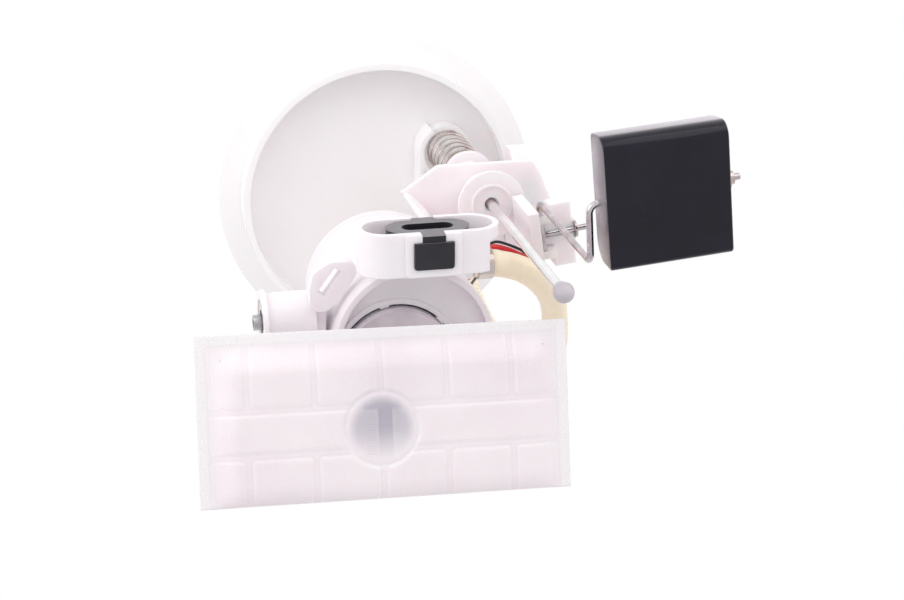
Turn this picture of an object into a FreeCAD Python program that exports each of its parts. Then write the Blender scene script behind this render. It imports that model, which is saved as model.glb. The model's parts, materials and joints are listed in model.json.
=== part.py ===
import FreeCAD, Part
import math
import os

# Electric fuel pump module for a fuel tank, in millimetres.
# z = 0 is the seating face of the tank flange, +z is up, out of the tank.
# x and y are the flange's own centre lines.

# Running clearance between a round part and its bore, and gap between parts that only touch
running_gap = 0.05
seat_gap = 0.1

# Tank flange
flange_radius = 60.0
flange_thickness = 4.0
skirt_radius = 52.0
skirt_wall = 2.5
skirt_depth = 10.0
crown_radius = 44.0
crown_wall = 1.8
crown_height = 3.0
flange_rib_count = 12
flange_rib_width = 1.6
flange_rib_height = 1.8

# Plug connector on the flange
connector_x = 8.0
connector_y = 40.0
connector_length = 26.0
connector_width = 14.0
connector_height = 17.0
connector_wall = 1.8
connector_floor = 3.0
connector_corner = 3.0
terminal_count = 4
terminal_pitch = 5.0
terminal_width = 2.2
terminal_thickness = 0.8
terminal_length = 11.0
terminal_tail = 8.0

# Fuel outlet on the flange: a post with a 5/16 inch quick-connect spigot
outlet_x = 30.0
outlet_y = 28.0
post_radius = 6.5
post_height = 17.0
spigot_radius = 3.945
spigot_bead_radius = 4.9
spigot_bead_width = 1.6
spigot_bead_setback = 6.5
spigot_length = 26.0
spigot_height = 10.5
duct_radius = 2.4
post_foot = 5.0
barb_length = 12.0

# Strut: guide rod, ball tip and spring
strut_x = 26.0
strut_y = -17.0
rod_radius = 1.6
rod_tip_z = -175.0
rod_head_z = -1.0
ball_radius = 3.3
ball_collar_radius = 2.4
ball_collar_length = 4.0
boss_radius = 9.4
boss_depth = 7.0
guard_radius = 11.4
guard_wall = 1.8
guard_depth = 12.0
guard_start = 80.0
guard_end = 235.0
guard_length = 24.0
spring_outer_radius = 8.0
spring_wire = 1.1
spring_coils = 7
spring_foot_z = -43.0
coil_corners = 8

# Stop leg that keeps the holder from dropping off the strut
leg_x = -16.0
leg_width = 9.0
leg_thickness = 2.4
leg_hook = 3.0
leg_hook_height = 5.0
leg_reach = 6.0
socket_wall = 1.8
socket_depth = 5.0
lug_height = 8.0
lug_wall = 1.8
lug_clearance = 0.5

# Filter canister with the pump sleeve beside it
canister_x = -16.0
canister_y = 4.0
canister_radius = 25.2
canister_wall = 1.9
canister_lip_z = -155.0
canister_top_z = -96.0
canister_floor_z = -150.5
canister_floor = 2.0
sleeve_x = -21.4
sleeve_y = 9.4
sleeve_bore = 18.7
sleeve_wall = 1.7
tab_count = 6
tab_width = 3.0
tab_height = 2.0
cap_thickness = 3.0
dome_radius = 9.5
dome_bore = 6.0
dome_height = 10.5
dome_roof = 1.8
oring_height = 1.9
filter_gap = 0.6
filter_end_gap = 3.0
pleat_count = 30
pleat_depth = 1.1

# Hose nipple on the canister's side
nipple_y = -7.5
nipple_z = -115.0
nipple_radius = 3.2
nipple_bore = 2.2
nipple_length = 12.0

# Fuel hose, nylon, with its route as corner points
hose_radius = 4.4
hose_bore = 3.25
hose_route = [(11.2, -7.5, -115.0), (39.5, -7.5, -115.0), (39.5, 31.0, -117.0),
              (31.5, 31.5, -75.0), (30.0, 28.0, -36.0), (30.0, 28.0, -9.0)]
clamp_width = 5.0
clamp_thickness = 0.7
clamp_setback = 3.6

# Isolator band on the canister's mouth, and the rubber in it
band_x = -12.6
band_length = 44.0
band_depth = 18.0
band_back_z = -149.0
band_low_y = -22.4
band_high_y = -36.0
band_wall = 2.0
band_step_x = 5.2
band_rim = 4.0
band_foot_width = 18.0
band_foot_gap = 0.5
window_width = 17.2
window_frame = 2.4
window_relief = 1.6
window_top = 2.4
window_height = 10.9
window_corner = 1.2
rear_notch_depth = 5.0
rubber_length = 26.0
rubber_depth = 12.6
rubber_inset = 0.5
rubber_height = 10.5
rubber_relief = 0.6
rubber_corner = 1.0
rubber_neck_height = 3.5
rubber_slot_length = 16.0
rubber_slot_width = 6.0
rubber_neck_width = 7.2

# Pressure regulator at the canister's left side, axis along x
regulator_y = -1.4
regulator_z = -139.0
regulator_left_x = -62.0
regulator_length = 14.5
regulator_radius = 9.2
regulator_bore = 7.3
regulator_rim = 1.1
regulator_stub_radius = 2.5
regulator_stub = 3.4
regulator_rim_width = 1.6
regulator_base_x = -42.3
regulator_base_half = 6.0
regulator_base_reach = 11.0
regulator_end_wall = 2.0
regulator_feed = 2.0
regulator_clearance = 0.6
regulator_groove_depth = 2.0
regulator_groove_width = 2.0
regulator_groove_setback = 3.0
ear_z = -147.0
ear_thickness = 4.0
ear_outline = [(-33.0, -22.6), (-41.0, -22.9), (-46.6, -19.5), (-47.8, -14.0), (-47.5, -7.0),
               (-42.6, -7.0), (-38.5, -10.5), (-33.0, -18.5)]
ear_corner = 3.0
ear_slot_x = -41.6
ear_slot_y = -16.6
ear_slot_length = 9.2
ear_slot_width = 2.6
ear_slot_turn = -54.0

# Electric pump, standing in the sleeve
pump_radius = 18.1
can_wall = 1.0
can_low_z = -153.0
can_high_z = -97.0
inlet_cover_low_z = -157.0
inlet_offset_x = -8.4
inlet_offset_y = 8.8
inlet_radius = 5.2
inlet_bore = 3.8
inlet_length = 13.0
plate_low_z = -148.0
plate_thickness = 3.0
outlet_cover_height = 8.0
cover_roof = 2.5
brush_cavity = 11.0
valve_seat = 1.0
pump_outlet_radius = 4.0
pump_outlet_bore = 2.6
pump_outlet_length = 9.0
pump_outlet_offset = 7.0
blade_terminal_x = 7.5
blade_terminal_y = -9.0
blade_terminal_pitch = 7.0
blade_terminal_width = 4.8
blade_terminal_thickness = 0.8
blade_terminal_top_z = -88.0
impeller_radius = 15.0
impeller_thickness = 3.4
blade_count = 24
blade_length = 2.6
shaft_radius = 1.6
armature_radius = 12.4
armature_slots = 8
armature_length = 30.0
magnet_wall = 3.4
magnet_angle = 140.0
commutator_radius = 6.0
commutator_length = 7.0
brush_size = 4.0
brush_length = 6.0
cushion_low_z = -146.0
cushion_height = 5.0

# Check valve in the pump's outlet
valve_lift = 1.5
valve_radius = 2.2
valve_height = 4.6
valve_stop_bore = 1.4
valve_spring_wire = 0.4
valve_spring_coils = 3

# Strainer, pitched so that its far edge hangs lower
strainer_x = -29.8
strainer_y = 19.8
strainer_z = -178.5
strainer_pitch = 17.0
strainer_turn = 1.5
strainer_width = 113.5
strainer_height = 51.6
strainer_left = 56.6
strainer_above = 29.4
strainer_seam = 3.2
strainer_sheet = 0.7
strainer_puff = 3.2
strainer_slope = 9.0
neck_radius = 10.4
neck_wall = 1.6
neck_height = 4.8
collar_foot = 3.4
collar_drop = 4.0
nut_radius = 7.8
nut_thickness = 0.6
bag_wall = 0.45
frame_rib = 2.2
frame_thickness = 2.0
frame_margin = 4.0
frame_pitch = 20.0
frame_first_column = -41.8
frame_columns = 5
frame_row_places = (-8.4, 4.6)

# Strut bracket: sleeve, deck and the tower that carries the level sender
sleeve_radius = 6.0
bracket_foot_z = -81.0
bell_radius = 11.8
bell_depth = 5.0
bell_ring_radius = 7.4
bell_ring_wall = 0.9
bell_ring_height = 0.8
bell_rim = 1.4
mouth_radius = 2.6
mouth_depth = 3.0
seat_radius = 9.2
seat_thickness = 2.0
deck_top_z = -60.0
deck_thickness = 2.6
deck_high_y = -26.5
deck_low_y = 4.0
deck_outline = [(11.0, -26.5), (45.5, -26.5), (54.0, -8.0), (54.0, 4.0), (-16.0, 4.0),
                (-3.0, -8.0), (-3.0, -17.0)]
deck_corner = 2.5
saddle_wall = 1.8
saddle_low_z = -108.0
saddle_start = -56.0
saddle_end = 22.0
tower_left_x = 39.6
tower_right_x = 48.6
tower_top_z = -45.0
tower_high_y = -28.0
tower_wall = 1.6
tower_slant = 6.0
tower_face = 6.0

# Level sender and float arm. Their own frame has the pivot pin along x, seen from below.
sender_x = 48.1
sender_y = -9.0
sender_z = -91.0
sender_yaw = -7.4
pin_radius = 1.05
pin_left = -13.0
pin_right = 9.8
hub_end = 4.7
retainer_radius = 3.0
retainer_thickness = 0.7
wiper_width = 2.8
wiper_thickness = 0.4
housing_left = -14.0
housing_right = -10.2
housing_high_y = -13.0
housing_low_y = 11.0
housing_top = 8.5
housing_foot = -15.0
housing_web_y = 2.0
card_thickness = 0.7
card_margin = 2.0
holder_left = -3.3
holder_right = 4.1
holder_high_y = -10.3
holder_low_y = 12.0
holder_front = -0.7
holder_back = 6.2
hub_radius = 4.0
wall_gap = 0.5
groove_gap = 0.02
clip_left = -9.1
clip_back = 1.6
clip_places = (-8.4, 4.4)
clip_width = 2.6
wire_radius = 1.1
wire_x = -7.4
wire_z = -3.6
wire_tail_y = 7.0
wire_elbow_y = -13.2
wire_reach_x = -5.8
wire_reach_y = -9.8
wire_reach_z = -61.0
wire_float_x = -4.4
wire_bend = 3.2
float_left = -0.6
float_length = 40.4
float_width = 43.4
float_thickness = 15.0
float_axis_y = -28.8
float_shift = -0.2
float_skew = 2.2
float_edge = 2.6
float_bore = 1.2
float_play = 0.5
clip_radius = 2.2
clip_length = 1.6
washer_radius = 3.7
washer_thickness = 0.9
wire_end = 45.0

# Leads from the plug to the pump and to the sender, with their routes as corner points
lead_radius = 0.9
red_lead_route = [(33.4, -7.0, -101.0), (29.0, -6.5, -103.0), (22.5, -3.5, -103.0),
                  (18.0, 3.0, -96.0), (16.0, 10.5, -82.0), (12.0, 20.0, -60.0),
                  (10.5, 31.0, -36.0), (10.5, 40.0, -18.0), (10.5, 40.0, -9.0)]
black_lead_route = [(33.6, -4.0, -101.0), (29.0, -3.5, -104.5), (24.5, -1.0, -105.5),
                    (20.0, 6.0, -98.0), (19.6, 13.0, -82.0), (16.5, 22.0, -60.0),
                    (15.5, 32.0, -36.0), (15.5, 40.0, -18.0), (15.5, 40.0, -9.0)]
pump_lead_routes = [
    [(-17.4, 0.4, -87.9), (-17.4, 1.5, -80.0), (-14.0, 8.0, -68.0), (-8.0, 20.0, -50.0),
     (-3.0, 32.0, -32.0), (0.5, 40.0, -18.0), (0.5, 40.0, -9.0)],
    [(-10.4, 0.4, -87.9), (-10.4, 1.0, -80.0), (-8.0, 6.0, -70.0), (-2.0, 18.0, -52.0),
     (3.0, 31.0, -32.0), (5.5, 40.0, -18.0), (5.5, 40.0, -9.0)]]

# Shapes that many parts use

def point(x, y, z):
    return FreeCAD.Vector(x, y, z)


def post(radius, low, high, x=0.0, y=0.0):
    """An upright cylinder."""
    return Part.makeCylinder(radius, high - low, point(x, y, low))


def ring(outer, inner, low, high, x=0.0, y=0.0):
    """An upright tube."""
    return post(outer, low, high, x, y).cut(post(inner, low, high, x, y))


def rod_along_x(radius, left, right, y, z):
    return Part.makeCylinder(radius, right - left, point(left, y, z), point(1, 0, 0))


def tube_along_x(outer, inner, left, right, y, z):
    return rod_along_x(outer, left, right, y, z).cut(rod_along_x(inner, left, right, y, z))


def rod_along_y(radius, low, high, x, z):
    return Part.makeCylinder(radius, high - low, point(x, low, z), point(0, 1, 0))


def block(left, right, front, back, low, high):
    return Part.makeBox(right - left, back - front, high - low, point(left, front, low))


def upright_edges(shape):
    """The straight edges of a block that run along z."""
    chosen = []
    for edge in shape.Edges:
        start = edge.Vertexes[0].Point
        end = edge.Vertexes[-1].Point
        if abs(start.x - end.x) < 1e-6 and abs(start.y - end.y) < 1e-6:
            chosen.append(edge)
    return chosen


def rounded_block(left, right, front, back, low, high, corner):
    shape = block(left, right, front, back, low, high)
    return shape.makeFillet(corner, upright_edges(shape))


def turned(profile, x=0.0, y=0.0):
    """A solid turned about an upright axis from (radius, z) corners."""
    corners = [point(radius, 0, z) for radius, z in profile]
    face = Part.Face(Part.makePolygon(corners + corners[:1]))
    solid = face.revolve(point(0, 0, 0), point(0, 0, 1), 360)
    solid.translate(point(x, y, 0))
    return solid


def prism(corners, direction):
    """A flat outline, pushed along a direction."""
    outline = [point(*corner) for corner in corners]
    face = Part.Face(Part.makePolygon(outline + outline[:1]))
    return face.extrude(direction)


def sector(radius, low, high, start, end, x, y):
    """A slice of a cylinder between two angles in degrees."""
    slice_ = Part.makeCylinder(radius, high - low, point(0, 0, 0), point(0, 0, 1), end - start)
    slice_.rotate(point(0, 0, 0), point(0, 0, 1), start)
    slice_.translate(point(x, y, low))
    return slice_


def bent_path(corners, bends):
    """Straight runs joined by tangent arcs, as one wire; one bend radius per inner corner."""
    corners = [point(*corner) for corner in corners]
    edges = []
    start = corners[0]
    for corner, after, bend in zip(corners[1:-1], corners[2:], bends):
        toward = (start - corner).normalize()
        away = (after - corner).normalize()
        half = toward.getAngle(away) / 2
        setback = bend / math.tan(half)
        first = corner + toward * setback
        last = corner + away * setback
        middle = (toward + away).normalize()
        crown = corner + middle * (bend / math.sin(half) - bend)
        edges.append(Part.LineSegment(start, first).toShape())
        edges.append(Part.Arc(first, crown, last).toShape())
        start = last
    edges.append(Part.LineSegment(start, corners[-1]).toShape())
    return Part.Wire(edges)


def swept_round(path, radius):
    """A round bar along a path."""
    first = path.Edges[0]
    start = first.valueAt(first.FirstParameter)
    heading = first.tangentAt(first.FirstParameter)
    profile = Part.Wire([Part.makeCircle(radius, start, heading)])
    return path.makePipeShell([profile], True, True)


def swept_tube(path, radius, bore):
    return swept_round(path, radius).cut(swept_round(path, bore))


def free_bends(corners):
    """The largest arc that each inner corner's two runs leave room for."""
    corners = [point(*corner) for corner in corners]
    bends = []
    for before, corner, after in zip(corners, corners[1:], corners[2:]):
        turn = (corner - before).getAngle(after - corner)
        run = min((corner - before).Length, (after - corner).Length)
        bends.append(0.45 * run / math.tan(turn / 2))
    return bends


def fused(shapes):
    first = shapes[0]
    return first.multiFuse(shapes[1:]).removeSplitter() if len(shapes) > 1 else first


# Flange and what is fixed to it

def flange():
    plate = post(flange_radius, 0, flange_thickness)
    skirt = ring(skirt_radius, skirt_radius - skirt_wall, -skirt_depth, 0)
    crown = ring(crown_radius, crown_radius - crown_wall, flange_thickness,
                 flange_thickness + crown_height)
    ribs = []
    for index in range(flange_rib_count):
        rib = block(crown_radius - crown_wall / 2, flange_radius - flange_thickness,
                    -flange_rib_width / 2, flange_rib_width / 2,
                    flange_thickness, flange_thickness + flange_rib_height)
        rib.rotate(point(0, 0, 0), point(0, 0, 1), 360.0 * (index + 0.5) / flange_rib_count)
        ribs.append(rib)
    boss = post(boss_radius, -boss_depth, 0, strut_x, strut_y)
    guard = sector(guard_radius, -guard_depth, 0, guard_start, guard_end, strut_x, strut_y)
    guard = guard.cut(post(guard_radius - guard_wall, -guard_depth, -boss_depth,
                           strut_x, strut_y))
    guard_left = strut_x - guard_radius
    guard_wing = block(guard_left, guard_left + guard_wall, strut_y, strut_y + guard_length,
                       -guard_depth, 0)
    leg_socket = leg_block(socket_wall, -socket_depth, 0).cut(leg_block(0.0, -socket_depth, 0))
    shroud = connector_block(connector_length, connector_width, connector_corner,
                             flange_thickness, flange_thickness + connector_height)
    outlet_top = flange_thickness + post_height
    outlet = post(post_radius, -post_foot, outlet_top, outlet_x, outlet_y)
    spigot_z = flange_thickness + spigot_height
    spigot = rod_along_x(spigot_radius, outlet_x, outlet_x + spigot_length, outlet_y, spigot_z)
    bead_x = outlet_x + spigot_length - spigot_bead_setback
    bead = rod_along_x(spigot_bead_radius, bead_x - spigot_bead_width, bead_x,
                       outlet_y, spigot_z)
    barb = post(hose_bore, -post_foot - barb_length, 0, outlet_x, outlet_y)
    solid = fused([plate, skirt, crown, boss, guard, guard_wing, leg_socket, shroud, outlet,
                   spigot, bead, barb] + ribs)
    socket = connector_block(connector_length - 2 * connector_wall,
                             connector_width - 2 * connector_wall,
                             connector_corner - connector_wall,
                             flange_thickness + connector_floor,
                             flange_thickness + connector_height)
    riser = post(duct_radius, -post_foot - barb_length, spigot_z, outlet_x, outlet_y)
    duct = rod_along_x(duct_radius, outlet_x, outlet_x + spigot_length, outlet_y, spigot_z)
    rod_hole = post(rod_radius, -boss_depth, rod_head_z, strut_x, strut_y)
    solid = solid.cut(fused([socket, riser.fuse(duct), rod_hole]))
    return solid.cut(fused([pin.common(post(flange_radius, -skirt_depth, flange_thickness
                                            + connector_floor)) for pin in terminal_pins()]))


def connector_block(length, width, corner, low, high):
    return rounded_block(connector_x - length / 2, connector_x + length / 2,
                         connector_y - width / 2, connector_y + width / 2, low, high, corner)


def terminal_pins():
    pins = []
    first_x = connector_x - terminal_pitch * (terminal_count - 1) / 2
    for index in range(terminal_count):
        x = first_x + index * terminal_pitch
        pins.append(block(x - terminal_width / 2, x + terminal_width / 2,
                          connector_y - terminal_thickness / 2,
                          connector_y + terminal_thickness / 2,
                          -terminal_tail,
                          flange_thickness + connector_floor + terminal_length))
    return pins


def connector_terminals():
    return Part.makeCompound(terminal_pins())


def guide_rod():
    return post(rod_radius, rod_tip_z, rod_head_z, strut_x, strut_y)


def rod_ball_tip():
    ball = Part.makeSphere(ball_radius, point(strut_x, strut_y, rod_tip_z))
    collar = post(ball_collar_radius, rod_tip_z, rod_tip_z + ball_collar_length,
                  strut_x, strut_y)
    return ball.fuse(collar).cut(guide_rod())


def coil(radius, wire, height, turns, x, y, low):
    """Round wire wound about an upright axis, as wide bends with short straight runs between."""
    steps = turns * coil_corners
    corner_radius = radius / math.cos(math.pi / coil_corners)

    def place(step, reach):
        angle = 2 * math.pi * step / coil_corners
        return (x + reach * math.cos(angle), y + reach * math.sin(angle),
                low + height * step / steps)

    corners = [place(step + 0.5, corner_radius) for step in range(steps)]
    corners = [place(0, radius)] + corners + [place(steps, radius)]
    return swept_round(bent_path(corners, [0.9 * radius] * steps), wire / 2)


def strut_spring():
    """Open coils of round wire between the flange's boss and the sleeve's seat."""
    radius = spring_outer_radius - spring_wire / 2
    head_z = -boss_depth - spring_wire / 2 - seat_gap
    foot_z = spring_foot_z + spring_wire / 2 + seat_gap
    return coil(radius, spring_wire, head_z - foot_z, spring_coils, strut_x, strut_y, foot_z)


def leg_block(margin, low, high):
    """An upright block round the stop leg's place, wider than the leg by a margin."""
    leg_y = canister_y + canister_radius + leg_reach
    return block(leg_x - leg_width / 2 - margin, leg_x + leg_width / 2 + margin,
                 leg_y - margin, leg_y + leg_thickness + margin, low, high)


def stop_leg():
    """A strip from the flange with a hook that the canister's lug rests on."""
    outer_y = canister_y + canister_radius + leg_reach
    hook_top = canister_top_z - lug_height - seat_gap
    left = leg_x - leg_width / 2
    strip = leg_block(-running_gap, hook_top - leg_hook_height, -seat_gap)
    root_y = outer_y + leg_thickness / 2
    hook = prism([(left, root_y, hook_top),
                  (left, outer_y - leg_hook, hook_top),
                  (left, root_y, hook_top - leg_hook_height)], point(leg_width, 0, 0))
    return strip.fuse(hook)


# Holder: canister, cap and filter

def canister_outline(radius_change, low, high):
    """The union of the canister's circle and the pump sleeve's circle, as a solid."""
    main = post(canister_radius + radius_change, low, high, canister_x, canister_y)
    beside = post(sleeve_bore + sleeve_wall + radius_change, low, high, sleeve_x, sleeve_y)
    return main.fuse(beside)


def filter_canister():
    shell = canister_outline(0, canister_lip_z, canister_top_z)
    hollow = canister_outline(-canister_wall, canister_floor_z, canister_top_z)
    recess = canister_outline(-canister_wall, canister_lip_z, canister_floor_z - canister_floor)
    sleeve = post(sleeve_bore + sleeve_wall, canister_lip_z + sleeve_wall, canister_top_z,
                  sleeve_x, sleeve_y)
    nipple = rod_along_x(nipple_radius, canister_x, canister_x + canister_radius + nipple_length,
                         nipple_y, nipple_z)
    nipple = nipple.cut(post(canister_radius - canister_wall / 2, canister_lip_z,
                             canister_top_z, canister_x, canister_y))
    shoulder = rod_along_x(nipple_radius + 1.6, canister_x, canister_x + canister_radius + 1.6,
                           nipple_y, nipple_z)
    shoulder = shoulder.cut(post(canister_radius - canister_wall / 2, canister_lip_z,
                                 canister_top_z, canister_x, canister_y))
    body = shell.cut(hollow.fuse(recess)).fuse([sleeve, nipple, shoulder, canister_lug()])
    bore = post(sleeve_bore, canister_lip_z, canister_top_z, sleeve_x, sleeve_y)
    channel = rod_along_x(nipple_bore, canister_x + canister_radius - 2 * canister_wall,
                          canister_x + canister_radius + nipple_length, nipple_y, nipple_z)
    return body.cut(bore.fuse(channel)).fuse(sleeve_tabs()).removeSplitter()


def sleeve_tabs():
    """Small tabs inside the mouth that centre the pump."""
    tabs = []
    for index in range(tab_count):
        tab = block(sleeve_bore - (sleeve_bore - pump_radius - running_gap),
                    sleeve_bore + sleeve_wall / 2, -tab_width / 2, tab_width / 2,
                    canister_lip_z + sleeve_wall, canister_lip_z + sleeve_wall + tab_height)
        tab.rotate(point(0, 0, 0), point(0, 0, 1), 360.0 * index / tab_count + 18.0)
        tab.translate(point(sleeve_x, sleeve_y, 0))
        tabs.append(tab)
    return tabs


def canister_lug():
    """The guide on the far side that slides on the stop leg."""
    low = canister_top_z - lug_height
    housing = leg_block(lug_clearance + lug_wall, low, canister_top_z)
    root = block(leg_x - leg_width / 2, leg_x + leg_width / 2, canister_y,
                 canister_y + canister_radius + leg_reach - lug_clearance, low, canister_top_z)
    channel = leg_block(lug_clearance, low, canister_top_z)
    inside = post(canister_radius - canister_wall / 2, low, canister_top_z,
                  canister_x, canister_y)
    return housing.fuse(root).cut(channel).cut(inside)


def canister_cap():
    """The welded lid, with a dome that seals on the pump's outlet."""
    top = canister_top_z + cap_thickness
    outlet_y_ = sleeve_y + pump_outlet_offset
    plate = canister_outline(0, canister_top_z, top)
    dome = Part.makeCone(dome_radius, dome_radius - 1.0, dome_height - cap_thickness,
                         point(sleeve_x, outlet_y_, top))
    hollow = post(dome_bore, canister_top_z, canister_top_z + dome_height - dome_roof,
                  sleeve_x, outlet_y_)
    return plate.fuse(dome).cut(fused([hollow] + blade_terminals(seat_gap)))


def outlet_oring():
    """The seal between the pump's outlet and the lid's dome."""
    high = can_high_z + pump_outlet_length - 2.0
    return ring(dome_bore - running_gap, pump_outlet_radius + running_gap,
                high - oring_height, high, sleeve_x, sleeve_y + pump_outlet_offset)


def filter_element():
    """Pleated paper in the crescent between the sleeve and the canister's wall."""
    low = canister_floor_z + filter_end_gap
    high = canister_top_z - filter_end_gap
    outer = canister_radius - canister_wall - filter_gap
    crescent = post(outer, low, high, canister_x, canister_y)
    keep_out = post(sleeve_bore + sleeve_wall + filter_gap, low, high, sleeve_x, sleeve_y)
    crescent = crescent.cut(keep_out)
    grooves = []
    for index in range(pleat_count):
        groove = block(outer - pleat_depth, outer + pleat_depth, -0.5, 0.5, low, high)
        groove.rotate(point(0, 0, 0), point(0, 0, 1), 360.0 * index / pleat_count)
        groove.translate(point(canister_x, canister_y, 0))
        grooves.append(groove)
    pleated = crescent.cut(fused(grooves))
    return max(pleated.Solids, key=lambda solid: solid.Volume)


# Holder: strut bracket

def strut_bracket():
    deck_low_z = deck_top_z - deck_thickness
    sleeve = post(sleeve_radius, bracket_foot_z + bell_depth, spring_foot_z, strut_x, strut_y)
    seat = ring(seat_radius, rod_radius, spring_foot_z - seat_thickness, spring_foot_z,
                strut_x, strut_y)
    bell = turned([(0, bracket_foot_z + bell_depth), (sleeve_radius, bracket_foot_z + bell_depth),
                   (bell_radius, bracket_foot_z + bell_rim), (bell_radius, bracket_foot_z),
                   (0, bracket_foot_z)], strut_x, strut_y)
    bell_ring = ring(bell_ring_radius, bell_ring_radius - bell_ring_wall,
                     bracket_foot_z - bell_ring_height, bracket_foot_z, strut_x, strut_y)
    deck = prism([(x, y, deck_low_z) for x, y in deck_outline], point(0, 0, deck_thickness))
    deck = deck.makeFillet(deck_corner, upright_edges(deck))
    deck = deck.cut(post(canister_radius + seat_gap, deck_low_z, deck_top_z,
                         canister_x, canister_y))
    solid = fused([sleeve, seat, bell, bell_ring, deck, saddle(), tower()])
    solid = solid.cut(tower_hollow())
    bore = post(rod_radius + running_gap, bracket_foot_z, spring_foot_z, strut_x, strut_y)
    mouth = Part.makeCone(mouth_radius, rod_radius + running_gap, mouth_depth,
                          point(strut_x, strut_y, bracket_foot_z))
    return solid.cut(bore.fuse(mouth))


def saddle():
    """A curved wall that grips the canister and carries the deck above it."""
    inner = canister_radius + seat_gap
    wall = sector(inner + saddle_wall, saddle_low_z, deck_top_z, saddle_start, saddle_end,
                  canister_x, canister_y)
    return wall.cut(post(inner, saddle_low_z, deck_top_z, canister_x, canister_y))


def tower():
    """A box open towards the flange, with a slanted outer edge."""
    deck_low_z = deck_top_z - deck_thickness
    outer = prism([(tower_left_x, tower_high_y, tower_top_z),
                   (tower_left_x, deck_low_y, tower_top_z),
                   (tower_left_x, deck_low_y, deck_low_z),
                   (tower_left_x, deck_high_y + tower_slant, deck_low_z),
                   (tower_left_x, tower_high_y, tower_top_z - tower_face)],
                  point(tower_right_x - tower_left_x, 0, 0))
    return outer


def tower_hollow():
    deck_low_z = deck_top_z - deck_thickness
    return block(tower_left_x + tower_wall, tower_right_x - tower_wall,
                 deck_high_y + tower_slant + tower_wall, deck_low_y - tower_wall,
                 deck_low_z + tower_wall, tower_top_z)


# Holder: isolator band and rubber

def stadium(length, depth, low_y, high_y, centre_x, back_z):
    """A long round-ended block, with its axis along y and its back at back_z."""
    half = depth / 2
    centre_z = back_z - half
    reach = length / 2 - half
    middle = block(centre_x - reach, centre_x + reach, high_y, low_y, back_z - depth, back_z)
    left = rod_along_y(half, high_y, low_y, centre_x - reach, centre_z)
    right = rod_along_y(half, high_y, low_y, centre_x + reach, centre_z)
    return fused([middle, left, right])


def window_block(width, top, height, corner, low, high):
    """A block in the band's front, with its two lower corners rounded."""
    shape = block(band_x - width / 2, band_x + width / 2, top, top + height, low, high)
    lower = [edge for edge in upright_edges(shape) if edge.Vertexes[0].Point.y > top + height / 2]
    return shape.makeFillet(corner, lower)


def isolator_band():
    outer = stadium(band_length, band_depth, band_low_y, band_high_y, band_x, band_back_z)
    inner = stadium(band_length - 2 * band_wall, band_depth - 2 * band_wall,
                    band_low_y, band_high_y, band_x, band_back_z - band_wall)
    front_z = band_back_z - band_depth
    top = band_high_y
    step = block(band_step_x, band_x + band_length, top + band_rim, band_low_y,
                 front_z, band_back_z)
    low_z = front_z - window_relief
    high_z = front_z + band_wall
    frame = window_block(window_width, top, window_height + window_frame, window_corner,
                         low_z, high_z)
    window = window_block(window_width - 2 * window_frame, top + window_top,
                          window_height - window_top, window_corner, low_z, high_z)
    half_neck = rubber_neck_width / 2
    notch = block(band_x - half_neck, band_x + half_neck, top, top + window_top, low_z, high_z)
    rear_notch = block(band_x - half_neck, band_x + half_neck, top, top + rear_notch_depth,
                       band_back_z - band_wall, band_back_z)
    foot = block(band_x - band_foot_width / 2, band_x + band_foot_width / 2, band_low_y - 1.0,
                 canister_y, canister_lip_z + band_foot_gap, band_back_z)
    foot = foot.cut(post(canister_radius + seat_gap, canister_lip_z, canister_top_z,
                         canister_x, canister_y))
    band = outer.cut(inner).cut(step).fuse([frame, foot])
    return band.cut(fused([window, notch, rear_notch]))


def rubber_isolator():
    """A lens-shaped rubber with a slot through it, a block in the window and two necks."""
    middle_z = band_back_z - band_depth / 2
    front_z = band_back_z - band_depth
    top = band_high_y
    high = top + rubber_inset
    lens = stadium(rubber_length, rubber_depth, high + rubber_height, high, band_x,
                   middle_z + rubber_depth / 2)
    front = window_block(window_width - 2 * window_frame - 2 * seat_gap, top + window_top + seat_gap,
                         window_height - window_top - 2 * seat_gap, rubber_corner,
                         front_z - window_relief - rubber_relief, middle_z)
    half_neck = rubber_neck_width / 2 - seat_gap
    neck = block(band_x - half_neck, band_x + half_neck, high, high + rubber_neck_height,
                 front_z - window_relief, band_back_z - seat_gap)
    slot = stadium(rubber_slot_length, rubber_slot_width, band_low_y, top, band_x,
                   middle_z + rubber_slot_width / 2)
    return fused([lens, front, neck]).cut(slot)


# Holder: pressure regulator

def regulator_housing():
    """A cup on its side, on a base that clips to the sleeve, with a slotted ear above."""
    right = regulator_left_x + regulator_length
    keep_out = canister_outline(seat_gap, canister_lip_z, canister_top_z)
    cup = tube_along_x(regulator_radius, regulator_bore, regulator_left_x, right,
                       regulator_y, regulator_z)
    rim = tube_along_x(regulator_radius + regulator_rim, regulator_bore, regulator_left_x,
                       regulator_left_x + regulator_rim_width, regulator_y, regulator_z)
    base = block(right, regulator_base_x, regulator_y - regulator_base_half,
                 regulator_y + regulator_base_reach, regulator_z - regulator_base_half,
                 regulator_z + regulator_base_half)
    end_wall = rod_along_x(regulator_radius, right, right + regulator_end_wall,
                           regulator_y, regulator_z)
    feed = rod_along_x(regulator_feed, right, regulator_base_x + canister_radius,
                       regulator_y, regulator_z)
    return fused([cup, rim, base.cut(keep_out), end_wall.cut(keep_out), ear()]).cut(feed)


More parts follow.
